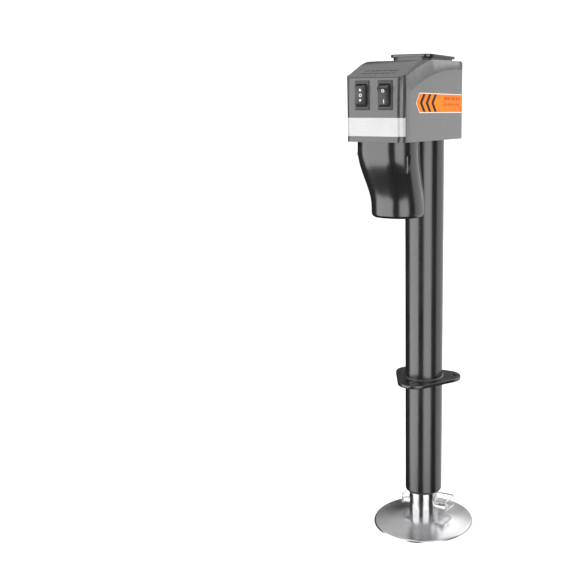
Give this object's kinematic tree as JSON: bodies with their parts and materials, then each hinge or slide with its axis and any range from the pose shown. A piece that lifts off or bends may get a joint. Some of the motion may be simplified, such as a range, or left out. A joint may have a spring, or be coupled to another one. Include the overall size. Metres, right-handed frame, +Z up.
{
  "type": "tongue jack stand",
  "caption": "Powered trailer tongue jack: geared head with rocker switches and work light on a flanged round tube, with a sliding ram and a round foot.",
  "frame": {"origin": "centre of the bolt circle on the underside of the mounting flange, on the tube's axis", "axes": "+Z up along the tube towards the head, -Y towards the switches and the work light, +X to the right seen from the switches"},
  "size_m": [0.157, 0.2417, 0.7175],
  "materials": {
    "black_coat": "gloss black powder coat",
    "chrome": "bright chrome plate",
    "zinc": "zinc plated steel",
    "steel": "machined steel",
    "bronze": "oiled bronze",
    "rubber": "black rubber",
    "nylon": "natural nylon",
    "cast_alloy": "die cast",
    "shell_grey": "fine-grained dark grey plastic",
    "panel_grey": "satin mid grey paint",
    "cover_black": "gloss black plastic",
    "switch_black": "semi-gloss black plastic",
    "lens": "milky white lens",
    "reflector_white": "white plastic",
    "board_green": "circuit board",
    "led_yellow": "led chip",
    "label_orange": "printed film",
    "copper": "copper",
    "magnet": "ferrite",
    "carbon": "carbon",
    "wire_red": "insulated wire",
    "relay_blue": "relay case"
  },
  "bodies": {
    "housing": {"outer_tube": "black_coat", "dust_seal": "rubber", "lower_guide_bush": "nylon", "mounting_flange": "black_coat", "bearing_plate": "steel", "screw_bush": "bronze", "thrust_bearing": "steel", "idler_shafts": "steel", "gearbox_base": "cast_alloy", "gearbox_lid": "cast_alloy", "gearbox_screws": "zinc", "top_bush": "bronze", "motor_can": "zinc", "motor_rear_cap": "cast_alloy", "motor_front_bell": "cast_alloy", "motor_bearing": "bronze", "motor_magnets": "magnet", "motor_brushes": "carbon", "motor_leads": "wire_red", "motor_cover": "cover_black", "motor_cover_screws": "zinc", "centre_shell": "shell_grey", "side_panel_right": "panel_grey", "side_panel_left": "panel_grey", "side_labels": "label_orange", "base_cover": "shell_grey", "shell_screws": "zinc", "light_lens": "lens", "light_reflector": "reflector_white", "led_board": "board_green", "led_chips": "led_yellow", "up_down_switch_body": "switch_black", "light_switch_body": "switch_black", "switch_terminals": "copper", "control_board": "board_green", "relays": "relay_blue", "cable_gland": "rubber"},
    "motor_rotor": {"motor_shaft": "steel", "armature_core": "steel", "armature_windings": "copper", "commutator": "copper", "motor_pinion": "steel"},
    "first_idler": {"first_gear": "nylon", "first_pinion": "steel"},
    "second_idler": {"second_gear": "steel", "second_pinion": "steel"},
    "screw": {"lead_screw": "steel", "screw_end_stop": "steel", "screw_gear": "steel", "screw_gear_key": "steel", "crank_hex": "steel"},
    "ram": {"ram_tube": "chrome", "ram_guide_ring": "nylon", "lead_nut": "bronze", "foot_plate": "chrome", "lock_pin": "zinc"},
    "bail": {"pin_bail": "zinc"},
    "up_down_button": {"up_down_rocker": "switch_black"},
    "light_button": {"light_rocker": "switch_black"},
    "cap": {"top_cap": "cover_black"}
  },
  "joints": [
    {"name": "motor_spin", "type": "hinge", "parent": "housing", "child": "motor_rotor", "pos_m": [0, -0.0885, 0.3248], "axis": [0, 0, -1], "range_deg": [0, 2268000]},
    {"name": "first_idler_spin", "type": "hinge", "parent": "housing", "child": "first_idler", "pos_m": [0, -0.0645, 0.4048], "axis": [0, 0, 1], "range_deg": [0, 453600]},
    {"name": "second_idler_spin", "type": "hinge", "parent": "housing", "child": "second_idler", "pos_m": [0, -0.0375, 0.4048], "axis": [0, 0, -1], "range_deg": [0, 129600]},
    {"name": "screw_spin", "type": "hinge", "parent": "housing", "child": "screw", "pos_m": [0, 0, 0.4048], "axis": [0, 0, 1], "range_deg": [0, 32400]},
    {"name": "ram_slide", "type": "slide", "parent": "housing", "child": "ram", "axis": [0, 0, -1], "range_m": [0, 0.4572]},
    {"name": "bail_swing", "type": "hinge", "parent": "ram", "child": "bail", "pos_m": [0.0375, 0, -0.2069], "axis": [0, 0, -1], "range_deg": [0, 150]},
    {"name": "up_down_rock", "type": "hinge", "parent": "housing", "child": "up_down_button", "pos_m": [-0.0165, -0.1525, 0.425], "axis": [-1, 0, 0], "range_deg": [-10, 10], "stiffness_Nm_per_rad": 0.05},
    {"name": "light_rock", "type": "hinge", "parent": "housing", "child": "light_button", "pos_m": [0.0172, -0.1525, 0.425], "axis": [-1, 0, 0], "range_deg": [0, 20]},
    {"name": "cap_lift", "type": "slide", "parent": "housing", "child": "cap", "axis": [0, 0, 1], "range_m": [0, 0.05]}
  ],
  "couplings": [
    {"joint": "second_idler_spin", "follows": "screw_spin", "ratio": 4},
    {"joint": "first_idler_spin", "follows": "screw_spin", "ratio": 14},
    {"joint": "motor_spin", "follows": "screw_spin", "ratio": 70},
    {"joint": "ram_slide", "follows": "screw_spin", "m_per_rad": 0.00080851}
  ]
}
